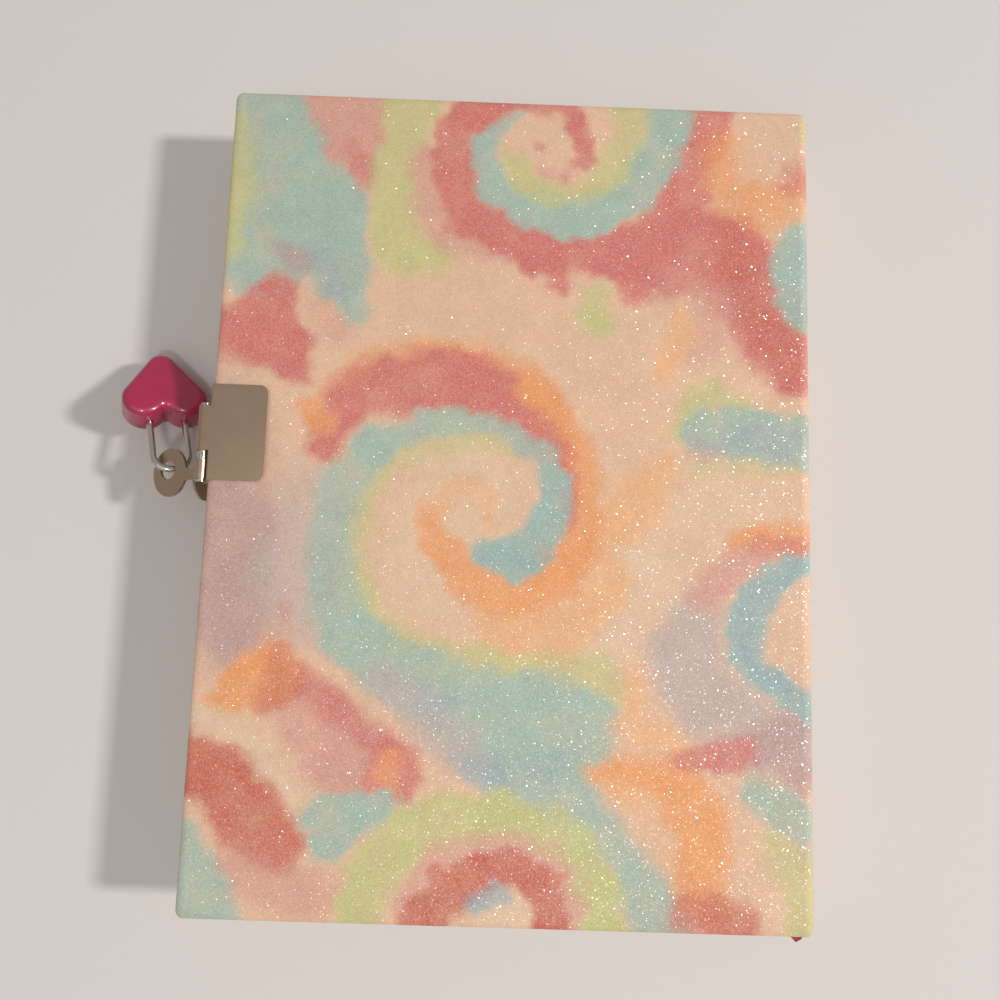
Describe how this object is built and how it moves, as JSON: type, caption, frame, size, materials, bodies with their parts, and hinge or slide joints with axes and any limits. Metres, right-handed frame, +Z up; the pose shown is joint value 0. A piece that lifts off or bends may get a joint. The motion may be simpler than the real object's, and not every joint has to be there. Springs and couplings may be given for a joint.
{
  "type": "diary with lock",
  "caption": "Hardback diary in a glittery tie-dye wrapping, with a hinged brass clasp at the fore-edge and a heart padlock hanging from its ear.",
  "frame": {"origin": "middle of the front cover's outer face, which lies on the table", "axes": "+X from the fore-edge to the spine, +Y from the tail to the head, +Z up through the closed book to the back cover"},
  "size_m": [0.1782, 0.2073, 0.021],
  "materials": {
    "glitter_wrap": "glitter-coated printed paper, pastel tie-dye",
    "greyboard": "matt grey board",
    "endpaper": "smooth matt tinted paper",
    "leaf": "uncoated writing paper",
    "lining": "brown kraft paper",
    "band": "woven cotton cord",
    "ribbon": "satin",
    "clasp_brass": "satin brass plating",
    "pin_steel": "bright wire",
    "lock_lacquer": "glossy magenta lacquer",
    "shackle_steel": "bright plated wire",
    "bolt_steel": "plain stamped sheet"
  },
  "bodies": {
    "front_cover": {"front_board": "greyboard", "front_wrap": "glitter_wrap", "front_pastedown": "endpaper", "front_flyleaf": "endpaper", "gathering_1": "leaf", "gathering_2": "leaf", "gathering_3": "leaf", "gathering_4": "leaf", "spine_lining": "lining", "head_band": "band", "tail_band": "band", "front_clasp_plate": "clasp_brass", "front_hinge_pin": "pin_steel"},
    "spine": {"spine_board": "greyboard", "spine_wrap": "glitter_wrap"},
    "back_cover": {"back_board": "greyboard", "back_wrap": "glitter_wrap", "back_pastedown": "endpaper", "back_clasp_plate": "clasp_brass", "back_hinge_pin": "pin_steel"},
    "middle_leaves": {"gathering_5": "leaf", "gathering_6": "leaf"},
    "back_leaves": {"gathering_7": "leaf", "gathering_8": "leaf", "back_flyleaf": "endpaper", "ribbon_marker": "ribbon"},
    "back_hasp": {"back_hasp_ear": "clasp_brass"},
    "front_hasp": {"front_hasp_ear": "clasp_brass"},
    "lock_shackle": {"lock_shackle": "shackle_steel"},
    "lock_case": {"lock_front_shell": "lock_lacquer", "lock_back_shell": "lock_lacquer"},
    "lock_bolt": {"lock_bolt": "bolt_steel"}
  },
  "joints": [
    {"name": "spine_fold", "type": "hinge", "parent": "front_cover", "child": "spine", "pos_m": [0.075, 0, 0.003], "axis": [0, 1, 0], "range_deg": [0, 90]},
    {"name": "cover_fold", "type": "hinge", "parent": "spine", "child": "back_cover", "pos_m": [0.075, 0, 0.018], "axis": [0, 1, 0], "range_deg": [0, 90]},
    {"name": "middle_leaves_turn", "type": "hinge", "parent": "front_cover", "child": "middle_leaves", "pos_m": [0.069, 0, 0.01418], "axis": [0, 1, 0], "range_deg": [0, 18]},
    {"name": "back_leaves_turn", "type": "hinge", "parent": "front_cover", "child": "back_leaves", "pos_m": [0.069, 0, 0.0182], "axis": [0, 1, 0], "range_deg": [0, 45]},
    {"name": "back_hasp_swing", "type": "hinge", "parent": "back_cover", "child": "back_hasp", "pos_m": [-0.0773, 0.003, 0.0194], "axis": [0, 1, 0], "range_deg": [0, 110]},
    {"name": "front_hasp_swing", "type": "hinge", "parent": "front_cover", "child": "front_hasp", "pos_m": [-0.0773, 0.003, 0.0016], "axis": [0, 1, 0], "range_deg": [-61, 27]},
    {"name": "padlock_swing", "type": "hinge", "parent": "back_hasp", "child": "lock_shackle", "pos_m": [-0.08763, 0.00348, 0.01416], "axis": [0.9198, -0.03, -0.3912], "range_deg": [0, 30]},
    {"name": "case_pull", "type": "slide", "parent": "lock_shackle", "child": "lock_case", "axis": [-0.2939, 0.9146, -0.2779], "range_m": [0, 0.0078]},
    {"name": "bolt_throw", "type": "slide", "parent": "lock_case", "child": "lock_bolt", "axis": [-0.8801, -0.1455, 0.4518], "range_m": [0, 0.0009]}
  ],
  "couplings": [
    {"joint": "middle_leaves_turn", "follows": "cover_fold", "ratio": 0.2},
    {"joint": "back_leaves_turn", "follows": "cover_fold", "ratio": 0.5}
  ]
}
